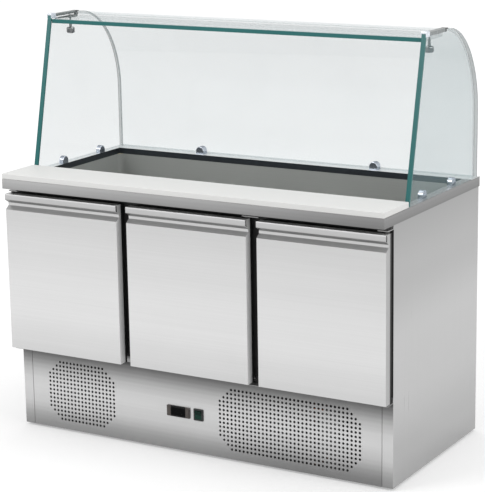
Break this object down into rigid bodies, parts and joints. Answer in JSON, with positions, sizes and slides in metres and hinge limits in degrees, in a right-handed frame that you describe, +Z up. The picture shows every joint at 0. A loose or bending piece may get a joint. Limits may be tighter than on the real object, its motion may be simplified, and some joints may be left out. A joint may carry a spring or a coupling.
{
  "type": "refrigerated prep table",
  "caption": "Steel refrigerated prep table: doors with full-width grips, open pan well with a board in front, curved glass canopy with a shelf, punched panel over the cooling unit.",
  "frame": {"origin": "on the floor, below the middle of the worktop's outline", "axes": "+X to the right as seen by someone standing at the doors, +Y from the doors to the back, +Z up"},
  "size_m": [1.365, 0.7, 1.357],
  "materials": {
    "worktop": "satin",
    "cutting_board": "matte",
    "side_panel": "satin",
    "galvanised": "satin",
    "insulation": "matte",
    "liner": "satin",
    "front_frame": "satin",
    "frame_trim": "matte",
    "grille": "satin",
    "door_skin": "satin",
    "door_inner": "satin",
    "gasket": "matte",
    "bush": "matte",
    "bracket": "satin",
    "screw": "polished",
    "controller": "satin",
    "display": "gloss",
    "key": "satin",
    "switch_frame": "gloss",
    "rocker": "gloss",
    "glass": "gloss",
    "chrome": "polished",
    "shelf_wire": "satin",
    "shelf_support": "satin",
    "coil": "satin",
    "evaporator_cover": "satin",
    "fan": "matte",
    "motor": "satin",
    "compressor": "satin",
    "pipe": "satin",
    "drip_tray": "matte",
    "gland": "matte",
    "foot": "satin"
  },
  "bodies": {
    "cabinet": {"worktop": "worktop", "side_panel_left": "side_panel", "side_panel_right": "side_panel", "back_panel": "galvanised", "base_tray": "galvanised", "deck_plate": "galvanised", "cabinet_foam": "insulation", "inner_liner": "liner", "front_frame": "front_frame", "frame_trim": "frame_trim", "grille_panel": "grille", "hinge_brackets": "bracket", "hinge_screws": "screw", "controller": "controller", "display_window": "display", "switch_frame": "switch_frame", "glass_side_left": "glass", "glass_side_right": "glass", "glass_rear": "glass", "glass_shelf": "glass", "glass_clamps": "chrome", "canopy_brackets": "chrome", "shelf_supports": "shelf_support", "evaporator_coil": "coil", "evaporator_cover": "evaporator_cover", "evaporator_fan_motor": "motor", "condenser_coil": "coil", "condenser_shroud": "motor", "condenser_fan_motor": "motor", "compressor": "compressor", "pipework": "pipe", "drip_tray": "drip_tray", "cable_gland": "gland"},
    "door_left": {"door_left_skin": "door_skin", "door_left_inner_panel": "door_inner", "door_left_gasket": "gasket", "door_left_bushes": "bush"},
    "door_centre": {"door_centre_skin": "door_skin", "door_centre_inner_panel": "door_inner", "door_centre_gasket": "gasket", "door_centre_bushes": "bush"},
    "door_right": {"door_right_skin": "door_skin", "door_right_inner_panel": "door_inner", "door_right_gasket": "gasket", "door_right_bushes": "bush"},
    "rocker": {"rocker_switch": "rocker"},
    "key_left": {"button_left": "key"},
    "key_right": {"button_right": "key"},
    "evaporator_fan": {"evaporator_fan": "fan"},
    "condenser_fan": {"condenser_fan": "fan"},
    "shelf_left": {"wire_shelf_left": "shelf_wire"},
    "shelf_centre": {"wire_shelf_centre": "shelf_wire"},
    "shelf_right": {"wire_shelf_right": "shelf_wire"},
    "board": {"cutting_board": "cutting_board"},
    "foot_front_left": {"foot_front_left": "foot"},
    "foot_front_right": {"foot_front_right": "foot"},
    "foot_rear_left": {"foot_rear_left": "foot"},
    "foot_rear_right": {"foot_rear_right": "foot"},
    "knob_left": {"shelf_knob_left": "chrome"},
    "knob_right": {"shelf_knob_right": "chrome"}
  },
  "joints": [
    {"name": "door_left_hinge", "type": "hinge", "parent": "cabinet", "child": "door_left", "pos_m": [-0.6705, -0.305, 0.5455], "axis": [0, 0, -1], "range_deg": [0, 100]},
    {"name": "door_centre_hinge", "type": "hinge", "parent": "cabinet", "child": "door_centre", "pos_m": [0.203, -0.305, 0.5455], "axis": [0, 0, 1], "range_deg": [0, 100]},
    {"name": "door_right_hinge", "type": "hinge", "parent": "cabinet", "child": "door_right", "pos_m": [0.6705, -0.305, 0.5455], "axis": [0, 0, 1], "range_deg": [0, 100]},
    {"name": "rocker_tilt", "type": "hinge", "parent": "cabinet", "child": "rocker", "pos_m": [0.001, -0.28, 0.137], "axis": [-1, 0, 0], "range_deg": [0, 14]},
    {"name": "key_left_press", "type": "slide", "parent": "cabinet", "child": "key_left", "axis": [0, 1, 0], "range_m": [0, 0.0012], "stiffness_N_per_m": 300, "springref_m": -0.0005},
    {"name": "key_right_press", "type": "slide", "parent": "cabinet", "child": "key_right", "axis": [0, 1, 0], "range_m": [0, 0.0012], "stiffness_N_per_m": 300, "springref_m": -0.0005},
    {"name": "evaporator_fan_spin", "type": "hinge", "parent": "cabinet", "child": "evaporator_fan", "pos_m": [0, 0.2045, 0.42], "axis": [0, 1, 0], "continuous": true},
    {"name": "condenser_fan_spin", "type": "hinge", "parent": "cabinet", "child": "condenser_fan", "pos_m": [0.245, -0.177, 0.1125], "axis": [0, 1, 0], "continuous": true},
    {"name": "shelf_left_slide", "type": "slide", "parent": "cabinet", "child": "shelf_left", "axis": [0, -1, 0], "range_m": [0, 0.05]},
    {"name": "shelf_centre_slide", "type": "slide", "parent": "cabinet", "child": "shelf_centre", "axis": [0, -1, 0], "range_m": [0, 0.05]},
    {"name": "shelf_right_slide", "type": "slide", "parent": "cabinet", "child": "shelf_right", "axis": [0, -1, 0], "range_m": [0, 0.05]},
    {"name": "board_lift", "type": "slide", "parent": "cabinet", "child": "board", "axis": [0, 0, 1], "range_m": [0, 0.12]},
    {"name": "foot_front_left_turn", "type": "hinge", "parent": "cabinet", "child": "foot_front_left", "pos_m": [-0.635, -0.235, 0.012], "axis": [0, 0, 1], "continuous": true},
    {"name": "foot_front_right_turn", "type": "hinge", "parent": "cabinet", "child": "foot_front_right", "pos_m": [0.635, -0.235, 0.012], "axis": [0, 0, 1], "continuous": true},
    {"name": "foot_rear_left_turn", "type": "hinge", "parent": "cabinet", "child": "foot_rear_left", "pos_m": [-0.635, 0.3025, 0.012], "axis": [0, 0, 1], "continuous": true},
    {"name": "foot_rear_right_turn", "type": "hinge", "parent": "cabinet", "child": "foot_rear_right", "pos_m": [0.635, 0.3025, 0.012], "axis": [0, 0, 1], "continuous": true},
    {"name": "knob_left_turn", "type": "hinge", "parent": "cabinet", "child": "knob_left", "pos_m": [-0.652, 0.02, 1.29], "axis": [0, 0, 1], "continuous": true},
    {"name": "knob_right_turn", "type": "hinge", "parent": "cabinet", "child": "knob_right", "pos_m": [0.652, 0.02, 1.29], "axis": [0, 0, 1], "continuous": true}
  ]
}
